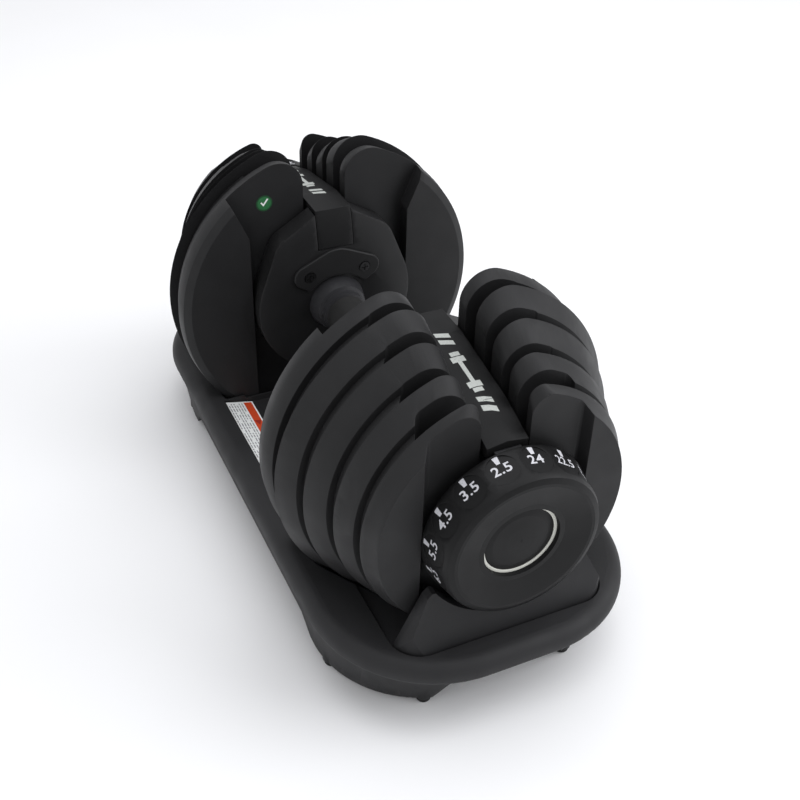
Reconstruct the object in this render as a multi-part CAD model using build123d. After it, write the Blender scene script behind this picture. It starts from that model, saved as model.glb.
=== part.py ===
from build123d import *
import math
import os

# Dial-selected adjustable dumbbell standing in its storage tray.
# X runs along the handle, Z is up, and the origin is on the floor under the middle of the handle.
# Each end is drawn once, on the +X side, and the other end is the same turned half a turn about Z.

# ---- driving dimensions, in millimetres -------------------------------------------------
AXIS_Z = 121.0            # height of the handle's axis above the floor
HALF_LENGTH = 203.0       # middle of the handle to the face of a dial
SETTINGS = 15             # positions of the dial
STEP_ANGLE = 360.0 / SETTINGS
POINTER_ANGLE = 13.0      # the bridge's corner that the dial is read against, from the top

# weight plates, from the one nearest the hand outward
PLATE_X = [84.7, 105.2, 125.7, 146.2, 166.7]          # inboard face of each web
PLATE_RADII = [107.0, 107.2, 98.0, 88.5, 81.5]        # and its radius there
RIM_WIDTH = [9.5, 13.3, 12.4, 13.8, 11.8]             # the conical rim beside it
RIM_END_RADII = [104.5, 99.2, 89.2, 82.5, 76.0]
GROOVE_DEPTH = 4.5        # step from the rim down to the pads' edge
WEB_THICKNESS = [9.0, 12.5, 12.0, 9.5, 5.0]
PAD_THICKNESS = [19.5, 19.5, 19.5, 19.5, 11.8]        # web and outboard pad together
INNER_PAD_DEPTH = 11.0    # depth of the pad on the hand side of the first plate
INNER_PAD_RIM = [(73.7, 101.0), (76.0, 106.0), (84.7, 107.0)]   # its bevelled rim, as (x, radius)
SLOT_HALF = 15.0          # half width of the slot that the handle drops into
LOBE_ROUND = 18.0         # rounding of the two horns beside the slot
INBOARD_LOBE_ROUND = [18.0, 18.0, 16.0, 12.0, 7.5]   # and on each web's inboard face
PAD_CHORD = 46.0          # the outboard pads start this far from the middle
PAD_CHORD_SLOPE = 4.5     # and their edges lean out by this much
INNER_PAD_EDGE = [(57.2, 55.0), (73.0, 92.0)]   # its free edge: upright, then out along this line

# handle, housings and bridge
TUBE_RADIUS = 11.0
TUBE_BORE = 9.5
TUBE_HALF = 70.0
GRIP_HALF = 46.0
HOUSING_X = (63.6, 82.0)
DOME_FLAT = 36.0          # the housing's face is flat to this radius, then curves away
DOME_RIM = (69.3, 69.0)   # as far as this (x, radius)
HOUSING_RADIUS = 56.0
WALL = 3.0
CAVITY_X = 70.0
NECK_RADIUS = 20.0
BRIDGE_HALF = 12.6
BRIDGE_BOTTOM = 45.0      # above the axis
BRIDGE_RIDGE = [(93.0, 69.5), (148.0, 61.5), (174.5, 52.6)]   # middle line, as (x, height)
BRIDGE_EAVES = [(93.0, 69.5), (148.0, 59.8), (174.5, 50.6)]   # edges of its two facets
COVER_WALL = 2.4
STRAP_Z = (45.5, 47.5)
END_PLATE_X = (176.7, 178.4)
BRIDGE_POSTS = [(104.0, 19.0), (165.5, 5.7)]   # screw posts inside the cover, as (x, height)
POST_HOLE = 4.5           # depth of their screw holes

# dials and what turns with them
SHAFT_RADIUS = 7.5
RUNNING_FIT = 0.06
DIAL_BACK = 179.0
DIAL_BACK_RADIUS = 50.8
DIAL_FRONT_RADIUS = 47.6
SCALLOP_X = 189.0         # shallow flats that the numbers stand on
SCALLOP_HEIGHT = 48.5
SCALLOP_RADIUS = 9.3
DISC_RADIUS = 44.0
FLANGE_INNER = 40.0
TAB_RADII = (33.0, 38.5)  # the tab that a selector disc's flange lifts
WHEEL_RADIUS = 24.0
WHEEL_X = (74.5, 78.3)

# storage tray
RIM_HALF_LENGTH = 215.5
RIM_HALF_WIDTH = 100.5
RIM_CORNER = 78.0
RIM_Z = 46.0              # height of the rim's widest line
RIM_TOP = 53.0
FOOT_HALF_LENGTH = 193.0
FOOT_HALF_WIDTH = 93.0
FOOT_CORNER = 70.0
SKIRT_Z = 4.0
FEET = [(184.5, 47.5), (137.5, 87.0)]   # one quarter of them, as (x, y)
DECK_Z = 46.0             # middle of the deck
DECK_EDGE_Z = 51.5        # and its outer edges
DECK_HALF = 71.5
WELL_GAP = 1.0
RECESS = (196.5, 67.5, 18.0)     # half length, half width and corner of the sunk area
CRADLE_X = (181.2, 187.0)        # foot and crest of the ramps under the dials
CRADLE_CREST_Z = 92.0

# which of the plates each dial position picks up, plate 1 first
SELECTIONS = ["", "5", "4", "45", "3", "35", "1", "15", "14", "13", "12", "124", "123", "1234", "12345"]

NEAR = "right"
FAR = "left"
ENDS = {NEAR: Rot(0, 0, 0), FAR: Rot(0, 0, 180)}


def along_x(sketch, start, end):
    """A sketch drawn as (y, height above the axis), made solid from x = start to x = end."""
    return Pos(start, 0, AXIS_Z) * extrude(Plane.YZ * sketch, end - start, dir=(1, 0, 0))


def along_y(sketch, start, end):
    """A sketch drawn as (x, height above the floor), made solid from y = start to y = end."""
    return Pos(0, start, 0) * extrude(Plane.XZ * sketch, end - start, dir=(0, 1, 0))


def rod(radius, start, end, bore=0.0, y=0.0, z=0.0):
    """A round bar or tube along X, placed relative to the handle's axis."""
    section = Circle(radius)
    if bore:
        section -= Circle(bore)
    return along_x(Pos(y, z) * section, start, end)


def block(x, y, z):
    """A box from its three (low, high) pairs, in the whole object's frame."""
    size = [high - low for low, high in (x, y, z)]
    middle = [(high + low) / 2 for low, high in (x, y, z)]
    return Pos(*middle) * Box(*size)


def turned(points):
    """A solid turned about the handle's axis from (x, radius) points."""
    profile = make_face(Polyline(*points, close=True))
    return Pos(0, 0, AXIS_Z) * revolve(Plane.XZ * profile, Axis.X)


# ---- weight plates ----------------------------------------------------------------------
def plate_outline(radius, horn_round):
    """A disc with a slot open at the top, whose two corners are rounded into horns."""
    disc = Circle(radius) - Circle(SLOT_HALF)
    disc -= Rectangle(2 * SLOT_HALF, 2 * radius, align=(Align.CENTER, Align.MIN))
    corners = disc.vertices().sort_by(Axis.Y)[-2:]
    return fillet(corners, horn_round)


def tapered(radius_in, radius_out, start, end, horn_in=LOBE_ROUND):
    """The plate's outline blended between two faces, so that its rim leans in."""
    horn_out = LOBE_ROUND - 0.3 * abs(radius_in - radius_out)
    faces = []
    for x, radius, horn in ((start, radius_in, horn_in), (end, radius_out, horn_out)):
        faces.append(Pos(x, 0, AXIS_Z) * (Plane.YZ * plate_outline(radius, horn)))
    return loft(faces, ruled=True)


def pad_recess(index):
    """What is cut away between the two outboard pads of a plate."""
    floor = PLATE_X[index] + WEB_THICKNESS[index]
    top = PLATE_X[index] + PAD_THICKNESS[index]
    wide = PAD_CHORD + PAD_CHORD_SLOPE
    over = top + 6
    profile = Polyline((floor, -PAD_CHORD), (top, -wide), (over, -wide), (over, wide),
                       (top, wide), (floor, PAD_CHORD), close=True)
    section = make_face(profile)
    bends = [v for v in section.vertices() if v.X < top + 1]
    section = fillet(bends, 0.42 * min(top - floor, 9.0))
    return extrude(section, 250, dir=(0, 0, 1))


def inner_pad():
    """The crescents on the hand side of the first plate, with a square step at their tops."""
    (start, face_radius), (bend, bend_radius), (end, end_radius) = INNER_PAD_RIM
    ring = tapered(face_radius, bend_radius, start, bend) + tapered(bend_radius, end_radius, bend, end)
    (chord, low), (reach, high) = INNER_PAD_EDGE
    middle = Polygon((-chord, -130), (-chord, low), (-reach, high), (-reach, 130), (reach, 130),
                     (reach, high), (chord, low), (chord, -130), align=None)
    return ring - along_x(middle, start - 1, end)


def selector_tab(index):
    """The lug under the axis that a selector disc lifts the plate by."""
    face = PLATE_X[index] + WEB_THICKNESS[index]
    low, high = TAB_RADII
    lug = Pos(0, -(low + high) / 2) * Rectangle(10, high - low)
    return along_x(lug, face - 0.5, face + 2.4)


def weight_plate(index):
    start = PLATE_X[index]
    rim_end = start + RIM_WIDTH[index]
    face = start + PAD_THICKNESS[index]
    body = tapered(PLATE_RADII[index], RIM_END_RADII[index], start, rim_end, INBOARD_LOBE_ROUND[index])
    if rim_end < face:
        groove = RIM_END_RADII[index] - GROOVE_DEPTH
        body += tapered(groove, groove, rim_end, face)
    body -= pad_recess(index)
    if index == 0:
        body += inner_pad()
    return body + selector_tab(index)


# ---- handle -----------------------------------------------------------------------------
def handle_tube():
    return rod(TUBE_RADIUS, -TUBE_HALF, TUBE_HALF, TUBE_BORE)


def handle_grip():
    """A waisted rubber sleeve with shallow rings round it."""
    upper = Spline((-GRIP_HALF, 14.0), (-GRIP_HALF / 2, 15.4), (0, 16.8),
                   (GRIP_HALF / 2, 15.4), (GRIP_HALF, 14.0))
    lower = Polyline((GRIP_HALF, 14.0), (GRIP_HALF, TUBE_RADIUS), (-GRIP_HALF, TUBE_RADIUS),
                     (-GRIP_HALF, 14.0))
    sleeve = Pos(0, 0, AXIS_Z) * revolve(Plane.XZ * make_face([upper, lower]), Axis.X)
    for place in range(-9, 10):
        x = 4.6 * place
        sleeve -= rod(20, x - 0.7, x + 0.7, 16.3 - 0.0012 * x * x)
    return sleeve


def grip_collar():
    """The stepped neck between the grip and the housing."""
    inner = TUBE_RADIUS
    return turned([(46.0, inner), (46.0, 13.0), (47.0, 15.3), (52.5, 15.3), (53.5, 17.3),
                   (58.0, 18.6), (HOUSING_X[0], NECK_RADIUS), (HOUSING_X[0], inner)])


def housing_outline(inset=0.0):
    """Round below, with shoulders that rise to the bridge."""
    outline = Circle(HOUSING_RADIUS - inset).edges()
    for side in (-1, 1):
        shoulder = Pos(side * 26, 38) * Circle(18 - inset)
        crown = Pos(side * 10, 62) * Circle(5.5 - inset)
        outline += shoulder.edges() + crown.edges()
    return make_hull(outline)


def dome(shift=0.0):
    """A body of revolution whose front is the housing's face, moved outboard by shift."""
    start, end = HOUSING_X[0] + shift, HOUSING_X[1]
    rim_x, rim_radius = DOME_RIM[0] + shift, DOME_RIM[1]
    curve = TangentArc((start, DOME_FLAT), (rim_x, rim_radius), tangent=(0, 1))
    rest = Polyline((rim_x, rim_radius), (rim_x + 3, rim_radius + 12), (end, rim_radius + 12),
                    (end, 0), (start, 0), (start, DOME_FLAT))
    return Pos(0, 0, AXIS_Z) * revolve(Plane.XZ * make_face([curve, rest]), Axis.X)


def inner_housing():
    """A hollow moulding, open on its outboard side, that holds the locking parts."""
    start, end = HOUSING_X
    shell = along_x(housing_outline(), start - 1, end) & dome()
    shell -= along_x(housing_outline(WALL), CAVITY_X, end)
    shell += rod(14.5, start, TUBE_HALF)
    shell -= rod(TUBE_RADIUS, start - 1, TUBE_HALF)
    shell -= along_x(band_outline(0.4), start - 1, end)
    shell -= block((65.4, 75), (-8.6, 8.6), (AXIS_Z - 60, AXIS_Z - 36))
    for side in (-1, 1):
        shell -= rod(1.5, start - 1, start + 8, y=side * 20, z=24.6)
    return shell


def band_outline(gap=0.0):
    """The strip down the housing's face that belongs to the bridge cover, above the lock cover."""
    half = BRIDGE_HALF + gap
    return Polygon((-half, 43 - gap), (-half, 90), (half, 90), (half, 43 - gap), align=None)


def roof(points_in, points_out, half, base):
    """Solid between two sections of the bridge, given as (x, ridge height, eaves height)."""
    faces = []
    for x, ridge, eaves in (points_in, points_out):
        section = make_face(Polyline((-half, base), (-half, eaves), (0, ridge), (half, eaves),
                                     (half, base), close=True))
        faces.append(Pos(x, 0, AXIS_Z) * (Plane.YZ * section))
    return loft(faces, ruled=True)


def bridge_solid(inset=0.0):
    """The bridge from the housing to the dial: flat on top at first, then a falling roof."""
    half = BRIDGE_HALF - inset
    stations = [(x, ridge - inset, eaves - inset)
                for (x, ridge), (_, eaves) in zip(BRIDGE_RIDGE, BRIDGE_EAVES)]
    flat = BRIDGE_RIDGE[0][1] - inset
    start = DOME_RIM[0] if not inset else HOUSING_X[1]
    solid = block((start, stations[0][0]), (-half, half), (AXIS_Z + BRIDGE_BOTTOM, AXIS_Z + flat))
    for inner, outer in zip(stations, stations[1:]):
        solid += roof(inner, outer, half, BRIDGE_BOTTOM)
    return solid


def bridge_cover():
    """A channel over the steel strap that turns down the housing's face as a band."""
    front, back = HOUSING_X
    band = along_x(band_outline(), front - 1, back) & dome(-0.3) & along_x(
        Rectangle(4 * BRIDGE_HALF, 2 * BRIDGE_RIDGE[0][1]), front - 1, back)
    band -= along_x(Rectangle(60, 2 * (BRIDGE_RIDGE[0][1] - COVER_WALL)), CAVITY_X, back + 1)
    end_wall = BRIDGE_RIDGE[-1][0] - COVER_WALL
    span = bridge_solid() & block((back, 190), (-20, 20), (0, 300))
    span -= bridge_solid(COVER_WALL) & block((back, end_wall), (-20, 20), (0, 300))
    span -= block((back - 1, END_PLATE_X[1]), (-8.4, 8.4),
                  (AXIS_Z + BRIDGE_BOTTOM - 1, AXIS_Z + STRAP_Z[1] + 0.3))
    cover = band + span
    for x, height in BRIDGE_POSTS:
        foot = Pos(x, 0, AXIS_Z + STRAP_Z[1])
        cover += foot * Cylinder(3.5, height, align=(Align.CENTER, Align.CENTER, Align.MIN))
        cover -= foot * Cylinder(1.5, POST_HOLE, align=(Align.CENTER, Align.CENTER, Align.MIN))
    return cover


def bridge_frame():
    """Steel strap that joins the housing to the bearing plate behind the dial."""
    back_plate = along_x(housing_outline(WALL + 0.2), 79.5, 82.0)
    back_plate -= rod(9.5, 79, 83)
    strap = block((81.5, END_PLATE_X[1]), (-8, 8), [AXIS_Z + z for z in STRAP_Z])
    end_shape = Circle(12) + Pos(0, STRAP_Z[1] / 2) * Rectangle(16, STRAP_Z[1])
    end_plate = along_x(end_shape - Circle(SHAFT_RADIUS + RUNNING_FIT), *END_PLATE_X)
    frame = back_plate + strap + end_plate
    for x, _ in BRIDGE_POSTS:
        frame -= Pos(x, 0, AXIS_Z + STRAP_Z[0] + 0.5) * Cylinder(1.7, 8)
    return frame


def bridge_screws():
    screws = []
    for x, _ in BRIDGE_POSTS:
        under = AXIS_Z + STRAP_Z[0]
        head = Pos(x, 0, under - 1.8) * Cylinder(3.4, 1.8, align=(Align.CENTER, Align.CENTER, Align.MIN))
        shank = Pos(x, 0, under - 1.8) * Cylinder(1.5, 7.8, align=(Align.CENTER, Align.CENTER, Align.MIN))
        screws.append(head + shank)
    return screws


def lock_cover():
    """Small lid over the locking parts, with an eared outline that clears the neck."""
    ears = Pos(-22.5, 24.8) * Circle(8.6) + Pos(22.5, 24.8) * Circle(8.6)
    crown = Pos(0, 23) * Circle(19.5)
    outline = make_hull((ears + crown).edges())
    outline -= Pos(0, -4) * Circle(26)
    outline = fillet(outline.vertices().sort_by(Axis.Y)[:2], 3.0)
    lid = along_x(outline, HOUSING_X[0] - 2.2, HOUSING_X[0])
    lid = fillet(lid.faces().sort_by(Axis.X)[0].edges(), 1.0)
    for side in (-1, 1):
        lid -= rod(1.6, 55, 70, y=side * 20, z=24.6)
        lid -= rod(4.0, HOUSING_X[0] - 2.3, HOUSING_X[0] - 1.2, y=side * 20, z=24.6)
    return lid


def lock_cover_screws():
    screws = []
    for side in (-1, 1):
        head = rod(3.7, HOUSING_X[0] - 2.6, HOUSING_X[0] - 1.2, y=side * 20, z=24.6)
        head -= Pos(HOUSING_X[0] - 2.6, side * 20, AXIS_Z + 24.6) * Box(1.2, 5, 0.9)
        head -= Pos(HOUSING_X[0] - 2.6, side * 20, AXIS_Z + 24.6) * Box(1.2, 0.9, 5)
        screws.append(head + rod(1.45, HOUSING_X[0] - 1.3, HOUSING_X[0] + 6, y=side * 20, z=24.6))
    return screws


def bearing_bush():
    """Flanged plain bearing pressed into the end of the handle tube."""
    bush = rod(TUBE_BORE, 52, TUBE_HALF) + rod(12.5, TUBE_HALF, TUBE_HALF + 1.5)
    return bush - rod(SHAFT_RADIUS + RUNNING_FIT, 51, 72)


def detent_spring():
    """Leaf with a bump that clicks along the notches of the index wheel."""
    inner = -(WHEEL_RADIUS + 0.5)
    leaf = Pos(inner - 1.9, 0) * Rectangle(0.8, 34)
    bump = Pos(inner - 1.4, 0) * Circle(1.4)
    foot = Pos(inner - 3.4, -15) * Rectangle(3.0, 4)
    return along_x(leaf + bump, 75.0, 78.0) + along_x(foot, 75.0, 79.5)


# ---- lock -------------------------------------------------------------------------------
def lock_slider():
    """Spring-loaded frame round the tube's end, lifted off the wheel by the tray's post."""
    outer = Polygon((-31, 43), (31, 43), (31, -18), (8, -38), (8, -44), (-8, -44), (-8, -38),
                    (-31, -18), align=None)
    inner = Polygon((-27, 37), (27, 37), (27, -16.5), (6, -34.5), (-6, -34.5), (-27, -16.5), align=None)
    plate = along_x(outer - inner, 71.2, 73.8)
    tooth = along_x(Pos(0, 34.5) * Rectangle(4, 7), 73, 78)
    foot = along_x(Pos(0, -41) * Rectangle(16, 6), 66, 73)
    return plate + tooth + foot


def lock_spring():
    """Compression spring between the slider's top bar and the housing's roof."""
    low, high = 43.1, 66.8
    wire = 0.4
    path = Helix(pitch=(high - low - 2 * wire) / 7, height=high - low - 2 * wire, radius=1.6)
    section = (Plane(origin=path @ 0, z_dir=path % 0)) * Circle(wire)
    coil = sweep(section, path=path, is_frenet=True)
    return Pos(72.4, 0, AXIS_Z + low + wire) * coil


# ---- dials ------------------------------------------------------------------------------
def dial_shaft():
    shaft = rod(SHAFT_RADIUS, 53, 190)
    return shaft - rod(2.6, 176, 191)


def selector_disc(index):
    """Thin disc whose flange is missing where the plate is to be left behind."""
    face = PLATE_X[index] + WEB_THICKNESS[index]
    disc = rod(DISC_RADIUS, face + 3.0, face + 4.6)
    flange = rod(DISC_RADIUS, face + 0.5, face + 3.1, FLANGE_INNER)
    for setting, plates in enumerate(SELECTIONS):
        if str(index + 1) not in plates:
            middle = 270.0 + setting * STEP_ANGLE
            half = STEP_ANGLE / 2 + 0.1
            sector = Polygon((0, 0), *[(60 * math.cos(math.radians(middle + a)),
                                        60 * math.sin(math.radians(middle + a)))
                                       for a in (-half, 0, half)], align=None)
            flange -= along_x(sector, face, face + 3.0)
    disc += flange
    previous = WHEEL_X[1] + 1.5 if index == 0 else PLATE_X[index - 1] + WEB_THICKNESS[index - 1] + 4.6
    hub_radius = 9.0 if index == 0 else 12.0
    disc += rod(hub_radius, previous, face + 3.1)
    return disc - rod(SHAFT_RADIUS, previous - 1, face + 6)


def index_wheel():
    """Notched wheel that the leaf spring and the lock work on."""
    section = Circle(WHEEL_RADIUS)
    for setting in range(SETTINGS):
        section -= Rot(0, 0, setting * STEP_ANGLE) * Pos(0, WHEEL_RADIUS - 1.2) * Rectangle(5, 6)
    wheel = along_x(section - Circle(SHAFT_RADIUS), *WHEEL_X)
    return wheel + rod(9.0, WHEEL_X[1] - 0.1, WHEEL_X[1] + 1.5, SHAFT_RADIUS)


def dial():
    """Cup-shaped knob with a slightly conical number band and a dished face."""
    front = HALF_LENGTH
    outer = turned([(DIAL_BACK, 0), (DIAL_BACK, DIAL_BACK_RADIUS), (DIAL_BACK + 2, DIAL_BACK_RADIUS),
                    (front - 4, DIAL_FRONT_RADIUS), (front - 1.2, DIAL_FRONT_RADIUS - 1.4),
                    (front, DIAL_FRONT_RADIUS - 4.6), (front, DIAL_FRONT_RADIUS - 6.5),
                    (front - 4.0, 26.5), (front - 4.0, 23.3), (front - 9.0, 23.3), (front - 9.0, 0)])
    hollow = turned([(DIAL_BACK - 1, 14), (DIAL_BACK - 1, 46), (front - 8, 43), (front - 10, 38),
                     (front - 12.2, 22), (front - 12.2, 14)])
    knob = outer - hollow - rod(SHAFT_RADIUS, DIAL_BACK - 1, 190) - rod(3.2, 189, front)
    knob -= rod(9.0, 190.2, front)
    slope = math.degrees(math.atan2(DIAL_BACK_RADIUS - DIAL_FRONT_RADIUS, front - DIAL_BACK - 6))
    for setting in range(SETTINGS):
        angle = POINTER_ANGLE + setting * STEP_ANGLE
        radial = Pos(0, 0, AXIS_Z) * Rot(angle, 0, 0) * Pos(SCALLOP_X, 0, SCALLOP_HEIGHT)
        knob -= radial * Rot(0, slope, 0) * Cylinder(SCALLOP_RADIUS, 4.0,
                                                     align=(Align.CENTER, Align.CENTER, Align.MIN))
    return knob


def dial_screw():
    """Retaining screw that holds the dial on the end of the shaft."""
    head = rod(8.0, 190.2, 192.6) - rod(2.2, 191.4, 193)
    return head + rod(2.5, 178, 190.3)


def dial_ring():
    return rod(23.2, 194.1, 196.2, 21.4)


def dial_cap():
    """Slightly domed cap pressed into the ring."""
    dome = turned([(194.1, 0), (194.1, 21.3), (195.6, 21.3), (196.6, 17.0), (197.1, 9.0), (197.2, 0)])
    return dome


# ---- storage tray -----------------------------------------------------------------------
def tray_outline(half_length, half_width, corner):
    return RectangleRounded(2 * half_length, 2 * half_width, corner)


def well_space(wall=0.0):
    """Room for one end's plates, or the same grown by a wall."""
    start = PLATE_X[0] - INNER_PAD_DEPTH - WELL_GAP - wall
    end = PLATE_X[4] + PAD_THICKNESS[4] + WELL_GAP + wall
    gap = WELL_GAP + wall
    edge = [(start, 0), (start, INNER_PAD_RIM[1][1] + gap), (PLATE_X[0], PLATE_RADII[0] + gap)]
    for index in range(1, 5):
        edge.append((PLATE_X[index], PLATE_RADII[index] + gap))
    edge += [(end, RIM_END_RADII[4] + gap), (end, 0)]
    return turned(edge)


def cradle():
    """Ramp and two horns at the end of the tray, hollowed round the dial."""
    start, crest = CRADLE_X
    end, half, _ = RECESS
    profile = Polygon((-half, 40 - AXIS_Z), (-half, 51 - AXIS_Z), (-50, -33.5), (-47, -31),
                      (47, -31), (50, -33.5), (half, 51 - AXIS_Z), (half, 40 - AXIS_Z), align=None)
    ramp = along_x(profile - Circle(54.5), start, end)
    above = Polygon((crest, CRADLE_CREST_Z), (end, 49.5), (end + 30, 49.5), (end + 30, 140),
                    (crest - 2, 140), align=None)
    return (ramp - along_y(above, -120, 120)) & extrude(tray_outline(*RECESS), 140)


def middle_deck():
    """What is cut away over the deck between the wells, whose sides slope down inward."""
    profile = Polygon((-84, 60), (-84, DECK_EDGE_Z), (-60, DECK_Z), (60, DECK_Z), (84, DECK_EDGE_Z), (84, 60),
                      align=None)
    return along_x(Pos(0, -AXIS_Z) * profile, -DECK_HALF, DECK_HALF)


def base_tray():
    """One moulding: rim, deck, two wells, two cradles and a skirt with arched edges."""
    skirt = loft([Pos(0, 0, SKIRT_Z) * tray_outline(FOOT_HALF_LENGTH, FOOT_HALF_WIDTH, FOOT_CORNER),
                  Pos(0, 0, RIM_Z - 6) * tray_outline(RIM_HALF_LENGTH - 9, RIM_HALF_WIDTH - 3.5, RIM_CORNER - 3)],
                 ruled=True)
    rim = Pos(0, 0, RIM_Z - 6) * extrude(tray_outline(RIM_HALF_LENGTH, RIM_HALF_WIDTH, RIM_CORNER),
                                         RIM_TOP - RIM_Z + 6)
    rim = fillet(rim.faces().sort_by(Axis.Z)[-1].edges(), 9.0)
    rim = fillet(rim.faces().sort_by(Axis.Z)[0].edges(), 3.0)
    body = skirt + rim
    body -= Pos(0, 0, RIM_TOP - 2.5) * extrude(tray_outline(*RECESS), 10, taper=-25)
    for turn in ENDS.values():
        body += turn * cradle()
    body -= middle_deck()
    hollow = loft([Pos(0, 0, SKIRT_Z - 6) * tray_outline(FOOT_HALF_LENGTH - 7, FOOT_HALF_WIDTH - 5,
                                                         FOOT_CORNER - 5),
                   Pos(0, 0, DECK_Z - 3.2) * tray_outline(RIM_HALF_LENGTH - 13, RIM_HALF_WIDTH - 8,
                                                          RIM_CORNER - 8)], ruled=True)
    for turn in ENDS.values():
        hollow -= turn * well_space(3.0)
        hollow -= turn * block((58, 71.7), (-9, 9), (0, 60))
    body -= hollow
    for turn in ENDS.values():
        body -= turn * well_space()
        body -= turn * arch()
        for screw in post_screws():
            body -= turn * screw
    for x, y in foot_places():
        body += Pos(x, y, SKIRT_Z) * Cylinder(5.5, 9, align=(Align.CENTER, Align.CENTER, Align.MIN))
    return body


def arch():
    """The openings under one end and one side of the skirt."""
    end_arch = Polygon((-46, -1), (-38, 22), (-26, RIM_Z - 7), (26, RIM_Z - 7), (38, 22), (46, -1), align=None)
    side_arch = Polygon((-122, -1), (-106, 17), (106, 17), (122, -1), align=None)
    under_end = along_x(Pos(0, -AXIS_Z) * end_arch, 175, 235)
    under_side = along_y(side_arch, -120, -80)
    return under_end + under_side


def foot_places():
    return [(along * x, across * y) for x, y in FEET for across in (-1, 1) for along in (-1, 1)]


def base_feet():
    """Rubber feet under the ends and the corners of the skirt."""
    feet = []
    for x, y in foot_places():
        foot = Pos(x, y, 0) * Cylinder(4.5, SKIRT_Z, align=(Align.CENTER, Align.CENTER, Align.MIN))
        feet.append(fillet(foot.faces().sort_by(Axis.Z)[0].edges(), 1.2))
    return feet


def unlock_post():
    """Post on the deck that lifts the lock while the handle is in the tray."""
    flange = block((59, 71), (-8, 8), (DECK_Z, DECK_Z + 3))
    column = block((66.5, 71), (-5, 5), (DECK_Z, AXIS_Z - 44.4))
    rib = Polygon((60, DECK_Z + 2), (67, DECK_Z + 2), (67, AXIS_Z - 58), align=None)
    brace = along_y(rib, -1.5, 1.5)
    post = flange + column + brace
    return post - Pos(63, 5, DECK_Z) * Cylinder(1.4, 20) - Pos(63, -5, DECK_Z) * Cylinder(1.4, 20)


def post_screws():
    screws = []
    for y in (-5, 5):
        head = Pos(63, y, DECK_Z + 3) * Cylinder(2.6, 1.6, align=(Align.CENTER, Align.CENTER, Align.MIN))
        shank = Pos(63, y, DECK_Z - 9) * Cylinder(1.4, 12.2, align=(Align.CENTER, Align.CENTER, Align.MIN))
        screws.append(head + shank)
    return screws


def instruction_label():
    """Thin printed sheet on the sloping side of the deck."""
    slope = math.degrees(math.atan2(DECK_Z - DECK_EDGE_Z, 84 - 60))
    middle = DECK_EDGE_Z - (84 - 73.5) * math.tan(math.radians(-slope))
    return Pos(0, -73.5, middle) * Rot(slope, 0, 0) * Pos(0, 0, 0.15) * Box(141, 20, 0.3)


def make_nodes():
    """Every sub-part by its name, as one shape or as a list of separate solids."""
    nodes = {
        "base_tray": base_tray(),
        "base_feet": base_feet(),
        "unlock_posts": [turn * unlock_post() for turn in ENDS.values()],
        "post_screws": [turn * screw for turn in ENDS.values() for screw in post_screws()],
        "instruction_label": instruction_label(),
        "handle_tube": handle_tube(),
        "handle_grip": handle_grip(),
        "lock_cover_screws": [turn * screw for turn in ENDS.values() for screw in lock_cover_screws()],
        "bridge_screws": [turn * screw for turn in ENDS.values() for screw in bridge_screws()],
    }
    makers = {
        "grip_collar": grip_collar, "inner_housing": inner_housing, "bridge_cover": bridge_cover,
        "bridge_frame": bridge_frame, "lock_cover": lock_cover, "bearing_bush": bearing_bush,
        "detent_spring": detent_spring, "lock_slider": lock_slider, "lock_spring": lock_spring,
        "dial_shaft": dial_shaft, "index_wheel": index_wheel, "dial": dial, "dial_screw": dial_screw,
        "dial_ring": dial_ring, "dial_cap": dial_cap,
    }
    for index in range(5):
        makers["plate_%d" % (index + 1)] = lambda index=index: weight_plate(index)
        makers["selector_disc_%d" % (index + 1)] = lambda index=index: selector_disc(index)
    for name, maker in makers.items():
        shape = maker()
        for end, turn in ENDS.items():
            nodes[name + "_" + end] = turn * shape
    return nodes


os.makedirs("parts", exist_ok=True)
for name, shape in make_nodes().items():
    if isinstance(shape, list):
        shape = Compound(children=[solid for piece in shape for solid in piece.solids()])
    export_step(shape, "parts/" + name + ".step")
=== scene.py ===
import math

import bmesh
import bpy
from mathutils import Euler, Matrix, Vector
from mathutils.bvhtree import BVHTree


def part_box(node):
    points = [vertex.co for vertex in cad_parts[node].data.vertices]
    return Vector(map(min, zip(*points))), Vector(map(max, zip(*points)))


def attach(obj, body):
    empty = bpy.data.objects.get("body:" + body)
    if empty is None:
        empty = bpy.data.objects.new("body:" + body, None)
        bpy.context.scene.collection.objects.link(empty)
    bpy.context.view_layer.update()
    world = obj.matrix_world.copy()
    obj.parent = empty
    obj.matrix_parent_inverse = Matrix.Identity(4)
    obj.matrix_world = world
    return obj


# Adjustable dumbbell in its storage tray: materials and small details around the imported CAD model.
# Everything is in metres, in the frame of the CAD. "right" is the +X end.

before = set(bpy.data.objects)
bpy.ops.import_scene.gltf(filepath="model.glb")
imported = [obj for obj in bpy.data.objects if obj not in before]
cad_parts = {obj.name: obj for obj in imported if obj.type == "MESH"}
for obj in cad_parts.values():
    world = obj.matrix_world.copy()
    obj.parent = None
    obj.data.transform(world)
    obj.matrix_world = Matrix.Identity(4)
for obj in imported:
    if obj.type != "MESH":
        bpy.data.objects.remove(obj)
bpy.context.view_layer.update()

# ---- sizes ------------------------------------------------------------------------------
MM = 0.001
ENDS = {"right": 1, "left": -1}
AXIS_Z = sum(v.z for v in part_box("handle_tube")) / 2

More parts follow.
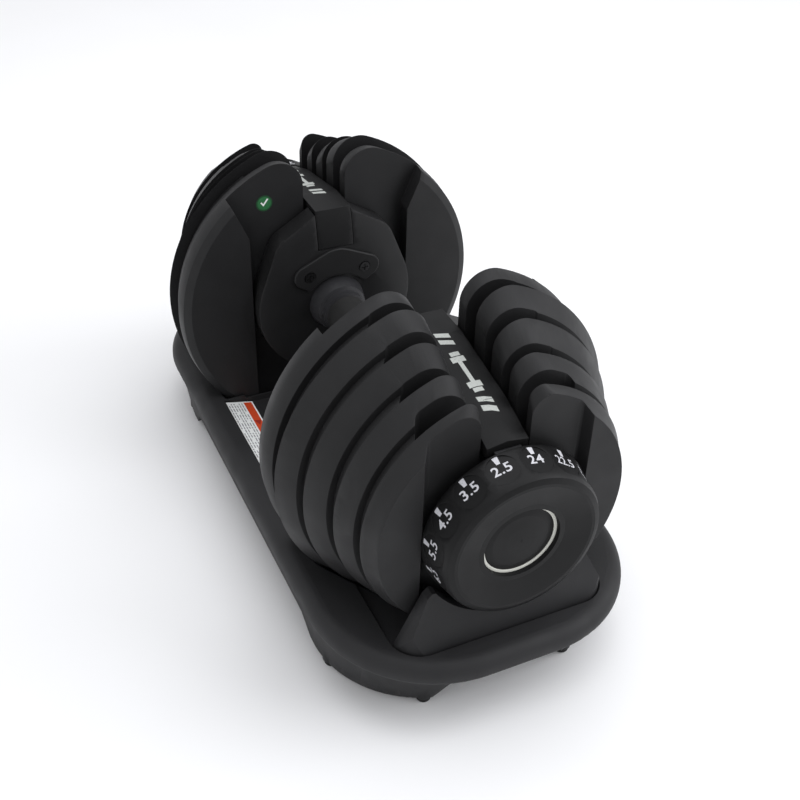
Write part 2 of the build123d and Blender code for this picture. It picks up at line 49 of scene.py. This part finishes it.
CAMERA_FROM_AXIS = Vector((0.5814, -0.2610, 0.4406))
CAMERA_AZIMUTH = 64.16
CAMERA_ELEVATION = 37.12
CAMERA_ROLL = 1.77
CAMERA_LENS = 52.83
WORLD_COLOUR = (0.97, 0.975, 1.0, 1.0)
WORLD_STRENGTH = 0.7
SOFTBOXES = [             # name, place, target, size, power and colour
    ("overhead", (-0.1, 0.25, 1.5), (0, 0, 0.1), (1.8, 1.6), 14.0, (0.96, 0.97, 1.0)),
    ("left", (0.5, -1.5, 1.0), (0, 0, 0.1), (1.4, 1.0), 1.5, (0.97, 0.98, 1.0)),
    ("right", (0.8, 1.4, 1.0), (0.1, 0, 0.1), (1.3, 1.0), 14.0, (0.96, 0.97, 1.0))]

SETTINGS = ["2.5", "3.5", "4.5", "5.5", "6.5", "8", "9", "10", "11.5", "13.5", "16", "18", "20.5", "22.5",
            "24"]
STEP = math.tau / len(SETTINGS)
POINTER = math.radians(13)   # where the first number stands, from the top
FACET_X = 189.0           # the number band's facets, in millimetres
FACET_HEIGHT = 48.5
FACET_SLOPE = math.atan2(3.2, 18.0)
NUMBER_HEIGHT = 5.7
NUMBER_BOLDNESS = 0.13
NUMBER_WIDTH = 1.08       # stretch across
LONG_NUMBER_WIDTH = 0.95  # and that of numbers with three digits
LETTER_SPACING = 1.08
NUMBER_BASE_X = 191.0
CAP_HEIGHT = 0.69         # of the font, as a share of its size
PRINT_LIFT = 0.04         # how far a dial's print stands off its facet
WEDGE = ((179.4, 1.75), (184.6, 1.1))   # its back and front edges, as (x, half width)
LABEL_TEXT_X = (-68.4, 67.4)
LABEL_BAND = (-69.4, -12.0, -70.6, -64.8)   # lowest and highest x, then y
LABEL_ROWS = 6
LABEL_FIRST_ROW_Y = -82.4
LABEL_ROW_STEP = 1.95
DASH_HEIGHT = 0.75
DASH_GAP = 0.8
STICKER = (-84.7, -42.5, 195.1)   # its middle
STICKER_RADII = (5.7, 4.7)
DROP_HEIGHT = 0.4         # metres, above the whole object
CHARCOAL = (0.0112, 0.0111, 0.0115)         # the plates' colour, where it is darkest
CHARCOAL_LIGHT = (0.0160, 0.0159, 0.0166)   # and lightest
SHEEN = 0.28              # the plastics' and rubbers' specular level
DULL_SHEEN = 0.19
WELD_DISTANCE = 2e-6      # metres
FLAT_ANGLE = math.radians(0.6)    # faces that bend less than this are joined before bevelling
BEVEL_ANGLE = math.radians(32)    # edges that bend more than this are rounded
BEVEL_SEGMENTS = 2


# ---- node helpers -----------------------------------------------------------------------
class Nodes:
    """Short calls for building one material's node tree."""

    def __init__(self, name):
        self.material = bpy.data.materials.new(name)
        self.material.use_nodes = True
        self.tree = self.material.node_tree
        self.shader = self.tree.nodes["Principled BSDF"]
        self.place = self.add("ShaderNodeTexCoord").outputs["Object"]

    def add(self, kind, **values):
        node = self.tree.nodes.new(kind)
        for key, value in values.items():
            if hasattr(node, key):
                setattr(node, key, value)
            else:
                node.inputs[key.replace("_", " ")].default_value = value
        return node

    def join(self, source, target):
        self.tree.links.new(source, target)

    def noise(self, scale, detail=2.0, rough=0.5, stretch=None):
        """Noise of so many features per metre, drawn out along an axis where asked."""
        node = self.add("ShaderNodeTexNoise", Scale=scale, Detail=detail, Roughness=rough)
        place = self.place
        if stretch:
            mapping = self.add("ShaderNodeMapping")
            mapping.inputs["Scale"].default_value = stretch
            self.join(place, mapping.inputs["Vector"])
            place = mapping.outputs["Vector"]
        self.join(place, node.inputs["Vector"])
        return node.outputs["Fac"]

    def ramp(self, source, *stops):
        """Colours or greys at positions of a 0 to 1 value."""
        node = self.add("ShaderNodeValToRGB")
        elements = node.color_ramp.elements
        while len(elements) < len(stops):
            elements.new(0.5)
        for element, (position, colour) in zip(elements, stops):
            element.position = position
            if not hasattr(colour, "__len__"):
                colour = (colour, colour, colour)
            element.color = (*colour, 1.0)
        self.join(source, node.inputs["Fac"])
        return node.outputs["Color"]

    def bump(self, source, strength, distance, below=None):
        node = self.add("ShaderNodeBump", Strength=strength, Distance=distance)
        self.join(source, node.inputs["Height"])
        if below:
            self.join(below, node.inputs["Normal"])
        return node.outputs["Normal"]

    def finish(self, colour=None, rough=None, normal=None, **fixed):
        for name, value in fixed.items():
            self.shader.inputs[name.replace("_", " ")].default_value = value
        for source, name in ((colour, "Base Color"), (rough, "Roughness"), (normal, "Normal")):
            if source:
                self.join(source, self.shader.inputs[name])
        return self.material


def moulded(name, dark, light, rough=(0.46, 0.6), grain=1500.0, depth=0.5, sheen=SHEEN):
    """Moulded plastic: a spark-eroded grain, faint flow marks and slightly uneven gloss."""
    n = Nodes(name)
    cloud = n.noise(9.0, 3.0)
    fine = n.noise(grain, 2.0, 0.6)
    wave = n.noise(42.0, 2.0)
    colour = n.ramp(cloud, (0.3, dark), (0.72, light))
    gloss = n.ramp(wave, (0.3, rough[0]), (0.7, rough[1]))
    broad = n.bump(wave, 0.05, 0.001)
    normal = n.bump(fine, depth, 0.00012, broad)
    return n.finish(colour, gloss, normal, Specular_IOR_Level=sheen)


def rubber(name, grey):
    n = Nodes(name)
    fine = n.noise(900.0, 4.0, 0.7)
    dust = n.noise(60.0, 5.0, 0.65)
    colour = n.ramp(dust, (0.35, grey), (0.8, [1.6 * c for c in grey]))
    rough = n.ramp(dust, (0.3, 0.62), (0.8, 0.85))
    return n.finish(colour, rough, n.bump(fine, 0.6, 0.00015), Specular_IOR_Level=SHEEN)


def steel(name, grey=0.5, rough=(0.22, 0.42), stretch=(8.0, 600.0, 600.0)):
    """Bare steel, with its scratches drawn out along the bar by default."""
    n = Nodes(name)
    scratch = n.noise(1.0, 3.0, 0.6, stretch)
    cloud = n.noise(35.0, 3.0)
    colour = n.ramp(cloud, (0.3, [grey * c for c in (0.9, 0.9, 0.92)]),
                    (0.75, [grey * c for c in (1.08, 1.08, 1.1)]))
    gloss = n.ramp(scratch, (0.3, rough[0]), (0.7, rough[1]))
    return n.finish(colour, gloss, n.bump(scratch, 0.15, 0.0001), Metallic=1.0)


def painted(name, dark, light):
    """Powder coat: orange peel over a plain colour."""
    n = Nodes(name)
    peel = n.noise(650.0, 2.0, 0.5)
    cloud = n.noise(25.0, 3.0)
    return n.finish(n.ramp(cloud, (0.3, dark), (0.7, light)), n.ramp(cloud, (0.3, 0.42), (0.7, 0.55)),
                    n.bump(peel, 0.35, 0.0002))


def printed(name, colour, worn):
    """Pad-printed ink, a little uneven where the grain shows through."""
    n = Nodes(name)
    speck = n.noise(1400.0, 3.0, 0.7)
    return n.finish(n.ramp(speck, (0.28, worn), (0.46, colour)), n.ramp(speck, (0.3, 0.5), (0.7, 0.68)),
                    n.bump(speck, 0.15, 0.00005))


# ---- camera, light and floor ------------------------------------------------------------
def add_camera():
    azimuth, elevation, roll = (math.radians(a) for a in (CAMERA_AZIMUTH, CAMERA_ELEVATION, CAMERA_ROLL))
    back = Vector((math.sin(azimuth) * math.cos(elevation), -math.cos(azimuth) * math.cos(elevation),
                   math.sin(elevation)))
    data = bpy.data.cameras.new("camera")
    data.lens = CAMERA_LENS
    data.sensor_width = 36.0
    data.clip_start = 0.01
    data.clip_end = 50.0
    camera = bpy.data.objects.new("camera", data)
    bpy.context.scene.collection.objects.link(camera)
    camera.location = Vector((0, 0, AXIS_Z)) + CAMERA_FROM_AXIS
    camera.rotation_mode = "QUATERNION"
    camera.rotation_quaternion = (-back).to_track_quat("-Z", "Y") @ Euler((0, 0, roll)).to_quaternion()
    bpy.context.scene.camera = camera


def add_softbox(name, place, target, size, power, colour):
    data = bpy.data.lights.new(name, "AREA")
    data.shape = "RECTANGLE"
    data.size, data.size_y = size
    data.energy = power
    data.color = colour
    lamp = bpy.data.objects.new(name, data)
    bpy.context.scene.collection.objects.link(lamp)
    lamp.location = place
    aim = Vector(target) - Vector(place)
    lamp.rotation_mode = "QUATERNION"
    lamp.rotation_quaternion = aim.to_track_quat("-Z", "Y")


def add_studio():
    world = bpy.data.worlds.new("studio")
    world.use_nodes = True
    background = world.node_tree.nodes["Background"]
    background.inputs["Color"].default_value = WORLD_COLOUR
    background.inputs["Strength"].default_value = WORLD_STRENGTH
    bpy.context.scene.world = world
    for softbox in SOFTBOXES:
        add_softbox(*softbox)
    bpy.context.scene.view_settings.view_transform = "Standard"
    mesh = bpy.data.meshes.new("floor")
    builder = bmesh.new()
    bmesh.ops.create_grid(builder, x_segments=1, y_segments=1, size=6.0)
    builder.to_mesh(mesh)
    builder.free()
    floor = bpy.data.objects.new("floor", mesh)
    bpy.context.scene.collection.objects.link(floor)
    n = Nodes("floor_paper")
    colour = n.ramp(n.noise(3.0), (0.3, 0.90), (0.7, 0.93))
    gloss = n.ramp(n.noise(30.0), (0.3, 0.8), (0.7, 0.9))
    mesh.materials.append(n.finish(colour, gloss))


# ---- prints and stickers ----------------------------------------------------------------
def flat_shape(outlines, step=0.0):
    """A bmesh of flat polygons from (x, y) outlines in millimetres, cut into small faces if asked."""
    shape = bmesh.new()
    for outline in outlines:
        shape.faces.new([shape.verts.new((x * MM, y * MM, 0)) for x, y in outline])
    if step:
        low = [min(v.co[i] for v in shape.verts) for i in (0, 1)]
        high = [max(v.co[i] for v in shape.verts) for i in (0, 1)]
        for i in (0, 1):
            cut = math.floor(low[i] / (step * MM)) * step * MM
            while cut < high[i]:
                at, normal = Vector((0, 0, 0)), Vector((0, 0, 0))
                at[i], normal[i] = cut, 1.0
                everything = shape.verts[:] + shape.edges[:] + shape.faces[:]
                bmesh.ops.bisect_plane(shape, geom=everything, plane_co=at, plane_no=normal)
                cut += step * MM
    return shape


def text_shape(words, height, boldness):
    """A bmesh of a short text, centred across, standing on its baseline, in millimetres."""
    curve = bpy.data.curves.new("text", "FONT")
    curve.body = words
    curve.align_x = "CENTER"
    curve.size = height * MM / CAP_HEIGHT
    curve.offset = boldness * MM
    curve.space_character = LETTER_SPACING
    curve.resolution_u = 6
    holder = bpy.data.objects.new("text", curve)
    bpy.context.scene.collection.objects.link(holder)
    bpy.context.view_layer.update()
    mesh = bpy.data.meshes.new_from_object(holder)
    shape = bmesh.new()
    shape.from_mesh(mesh)
    bpy.data.objects.remove(holder)
    bpy.data.curves.remove(curve)
    bpy.data.meshes.remove(mesh)
    return shape


def drop(shape, node, lift):
    """Lets every point fall straight down onto a CAD node, and stay lift millimetres above it."""
    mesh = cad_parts[node].data
    surface = BVHTree.FromPolygons([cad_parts[node].matrix_world @ v.co for v in mesh.vertices],
                                   [p.vertices for p in mesh.polygons])
    for point in shape.verts:
        hit = surface.ray_cast(Vector((point.co.x, point.co.y, DROP_HEIGHT)), Vector((0, 0, -1)))[0]
        point.co.z = hit.z + lift * MM


def place(name, shapes, material, body):
    """One object from several bmeshes, riding on a body."""
    mesh = bpy.data.meshes.new(name)
    whole = bmesh.new()
    for shape in shapes:
        part = bpy.data.meshes.new("part")
        shape.to_mesh(part)
        shape.free()
        whole.from_mesh(part)
        bpy.data.meshes.remove(part)
    whole.to_mesh(mesh)
    whole.free()
    mesh.materials.append(material)
    piece = bpy.data.objects.new(name, mesh)
    bpy.context.scene.collection.objects.link(piece)
    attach(piece, body)
    return piece


def dial_number_shapes(end):
    """The fifteen weights and their pointers, each flat on its own facet of the number band."""
    half_turn = Matrix.Rotation(math.pi if end == "left" else 0.0, 4, "Z")
    shapes = []
    for k, weight in enumerate(SETTINGS):
        facet = (half_turn @ Matrix.Translation((0, 0, AXIS_Z)) @ Matrix.Rotation(POINTER + k * STEP, 4, "X")
                 @ Matrix.Translation((FACET_X * MM, 0, FACET_HEIGHT * MM))
                 @ Matrix.Rotation(FACET_SLOPE, 4, "Y") @ Matrix.Rotation(math.pi / 2, 4, "Z"))
        number = text_shape(weight, NUMBER_HEIGHT, NUMBER_BOLDNESS)
        width = LONG_NUMBER_WIDTH if len(weight) > 3 else NUMBER_WIDTH
        bmesh.ops.transform(number, verts=number.verts, matrix=facet @ Matrix.Translation(
            (0, (FACET_X - NUMBER_BASE_X) * MM, PRINT_LIFT * MM)) @ Matrix.Diagonal((width, 1.0, 1.0, 1.0)))
        (x_back, back), (x_front, front) = WEDGE
        wedge = flat_shape([[(-back, FACET_X - x_back), (-front, FACET_X - x_front),
                             (front, FACET_X - x_front), (back, FACET_X - x_back)]])
        bmesh.ops.transform(wedge, verts=wedge.verts,
                            matrix=facet @ Matrix.Translation((0, 0, PRINT_LIFT * MM)))
        shapes += [number, wedge]
    return shapes


def box_outline(x_low, x_high, y_low, y_high, lean=0.0):
    return [(x_low - lean, y_low), (x_high - lean, y_low), (x_high + lean, y_high), (x_low + lean, y_high)]


def bridge_outlines(sign):
    """A plain picture of a dumbbell between slanted bars, as (x, y) outlines on a bridge's top."""
    outlines = [box_outline(116, 134, -1.3, 1.3), box_outline(112.6, 117, -4.2, 4.2),
                box_outline(133, 137.4, -4.2, 4.2), box_outline(108.8, 112.0, -2.9, 2.9),
                box_outline(138.0, 141.2, -2.9, 2.9)]
    for x in (92.5, 98.5, 151.5, 145.5):
        outlines.append(box_outline(x, x + 3.6, -4.2, 4.2, 1.3))
    return [[(sign * x, sign * y) for x, y in outline] for outline in outlines]


def disc_outline(radius, sides=48):
    return [(radius * math.cos(math.tau * i / sides), radius * math.sin(math.tau * i / sides))
            for i in range(sides)]


def label_dashes():
    """Rows of short grey strokes that stand for small print."""
    outlines = []
    for row in range(LABEL_ROWS):
        y = LABEL_FIRST_ROW_Y + LABEL_ROW_STEP * row
        x = LABEL_TEXT_X[0]
        count = 0
        while x < LABEL_TEXT_X[1]:
            length = 1.6 + 2.4 * ((7 * count + 5 * row) % 5) / 4
            if (count + 3 * row) % 9:
                outlines.append(box_outline(x, x + length, y, y + DASH_HEIGHT))
            x += length + DASH_GAP
            count += 1
    return outlines


# ---- CAD nodes --------------------------------------------------------------------------
def node_names(stem, count=0):
    """Every node of a kind: one at each end, or a numbered row of them at each end."""
    if count:
        return ["%s_%d_%s" % (stem, k, end) for k in range(1, count + 1) for end in ENDS]
    return ["%s_%s" % (stem, end) for end in ENDS]


def dress(names, material, bevel=0.0):
    """Gives CAD nodes their material, and rounds their sharp edges by bevel millimetres."""
    for name in names:
        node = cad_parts[name]
        node.data.materials.clear()
        node.data.materials.append(material)
        if bevel:
            weld = node.modifiers.new("weld", "WELD")
            weld.merge_threshold = WELD_DISTANCE
            flat = node.modifiers.new("flat", "DECIMATE")
            flat.decimate_type = "DISSOLVE"
            flat.angle_limit = FLAT_ANGLE
            edge = node.modifiers.new("edge", "BEVEL")
            edge.width = bevel * MM
            edge.segments = BEVEL_SEGMENTS
            edge.limit_method = "ANGLE"
            edge.angle_limit = BEVEL_ANGLE
            edge.harden_normals = True


add_camera()
add_studio()

plate_skin = moulded("plate_skin", CHARCOAL, CHARCOAL_LIGHT)
tray_skin = moulded("tray_skin", (0.0142, 0.0141, 0.0148), (0.0205, 0.0204, 0.0215), (0.5, 0.64), 1100.0, 0.7)
satin = moulded("satin_plastic", (0.0095, 0.0094, 0.0097), (0.0135, 0.0134, 0.0139), (0.42, 0.54), 1900.0, 0.35)
dial_skin = moulded("dial_plastic", (0.0060, 0.0060, 0.0062), (0.0086, 0.0085, 0.0088),
                    (0.42, 0.54), 1900.0, 0.35, DULL_SHEEN)
bridge_skin = moulded("bridge_plastic", (0.0068, 0.0068, 0.0070), (0.0096, 0.0095, 0.0099),
                      (0.5, 0.6), 1900.0, 0.35, DULL_SHEEN)
collar = moulded("collar_plastic", (0.02, 0.02, 0.022), (0.028, 0.028, 0.03), (0.35, 0.48), 1900.0, 0.3)
nylon = moulded("nylon", (0.05, 0.05, 0.054), (0.075, 0.075, 0.08), (0.45, 0.6), 1700.0, 0.4)
grip_rubber = rubber("grip_rubber", (0.013, 0.0128, 0.0125))
foot_rubber = rubber("foot_rubber", (0.012, 0.012, 0.012))
bright_steel = steel("bright_steel", 0.55)
spring_steel = steel("spring_steel", 0.45, (0.25, 0.4), (500.0, 500.0, 20.0))
screw_steel = steel("screw_steel", 0.42, (0.28, 0.45), (700.0, 700.0, 700.0))
black_screw = steel("black_screw", 0.08, (0.3, 0.42), (700.0, 700.0, 700.0))
coat = painted("black_coat", (0.02, 0.02, 0.021), (0.03, 0.03, 0.032))
ring_paint = moulded("ring_paint", (0.66, 0.66, 0.60), (0.74, 0.74, 0.68), (0.3, 0.42), 1900.0, 0.1)
bush_plastic = moulded("bush_plastic", (0.5, 0.49, 0.45), (0.58, 0.57, 0.52), (0.4, 0.5))
print_white = printed("print_white", (0.86, 0.87, 0.86), (0.55, 0.56, 0.55))
print_grey = printed("print_grey", (0.50, 0.52, 0.49), (0.30, 0.32, 0.30))
print_number = printed("print_number", (0.60, 0.60, 0.63), (0.36, 0.36, 0.38))
ink_grey = printed("ink_grey", (0.22, 0.22, 0.23), (0.40, 0.40, 0.41))
ink_orange = printed("ink_orange", (0.60, 0.055, 0.008), (0.56, 0.09, 0.025))
ink_red = printed("ink_red", (0.30, 0.018, 0.010), (0.4, 0.04, 0.03))
ink_green_dark = printed("ink_green_dark", (0.006, 0.055, 0.016), (0.01, 0.08, 0.028))
ink_green = printed("ink_green", (0.018, 0.14, 0.042), (0.035, 0.19, 0.07))

dress(node_names("plate", 5), plate_skin, 0.8)
dress(["base_tray"], tray_skin, 0.8)
dress(["base_feet"], foot_rubber)
dress(node_names("dial"), dial_skin, 0.5)
dress(node_names("dial_cap"), dial_skin)
dress(node_names("dial_ring"), ring_paint, 0.3)
dress(node_names("dial_screw"), screw_steel)
dress(node_names("inner_housing") + node_names("lock_cover"), satin, 0.5)
dress(node_names("bridge_cover"), bridge_skin, 0.5)
dress(node_names("bridge_frame"), coat, 0.3)
dress(["bridge_screws", "post_screws"], screw_steel)
dress(["lock_cover_screws"], black_screw)
dress(["unlock_posts"] + node_names("lock_slider"), nylon, 0.3)
dress(node_names("selector_disc", 5) + node_names("index_wheel"), nylon)
dress(["handle_grip"], grip_rubber)
dress(node_names("grip_collar"), collar)
dress(["handle_tube"] + node_names("dial_shaft"), bright_steel)
dress(node_names("lock_spring") + node_names("detent_spring"), spring_steel)
dress(node_names("bearing_bush"), bush_plastic)
dress(["instruction_label"], print_white)

for end, sign in ENDS.items():
    place("dial_numbers_" + end, dial_number_shapes(end), print_number, "dial_%s_set" % end)
    graphic = flat_shape(bridge_outlines(sign), 1.5)
    drop(graphic, "bridge_cover_" + end, 0.05)
    place("bridge_graphic_" + end, [graphic], print_grey, "handle")

for name, outlines, ink, lift in (
        ("label_text", label_dashes(), ink_grey, 0.03),
        ("label_band", [box_outline(*LABEL_BAND)], ink_orange, 0.03),
        ("label_mark", [[(-47.0, -70.2), (-41.5, -67.7), (-47.0, -65.2)]], ink_red, 0.06)):
    shape = flat_shape(outlines)
    drop(shape, "instruction_label", lift)
    place(name, [shape], ink, "base")

sticker_face = (Matrix.Translation([v * MM for v in STICKER]) @ Matrix.Rotation(math.pi / 2, 4, "Y")
                @ Matrix.Rotation(math.pi / 2, 4, "Z"))
for name, outlines, ink, lift in (
        ("sticker_rim", [disc_outline(STICKER_RADII[0])], ink_green_dark, 0.05),
        ("sticker_middle", [disc_outline(STICKER_RADII[1])], ink_green, 0.08),
        ("sticker_tick", [[(-2.6, 0.4), (-0.6, -2.2), (3.0, 2.6), (2.0, 3.2), (-0.7, -0.5), (-1.8, 1.1)]],
         print_white, 0.11)):
    shape = flat_shape(outlines)
    bmesh.ops.transform(shape, verts=shape.verts, matrix=sticker_face @ Matrix.Translation((0, 0, lift * MM)))
    place(name, [shape], ink, "plate_left_1")
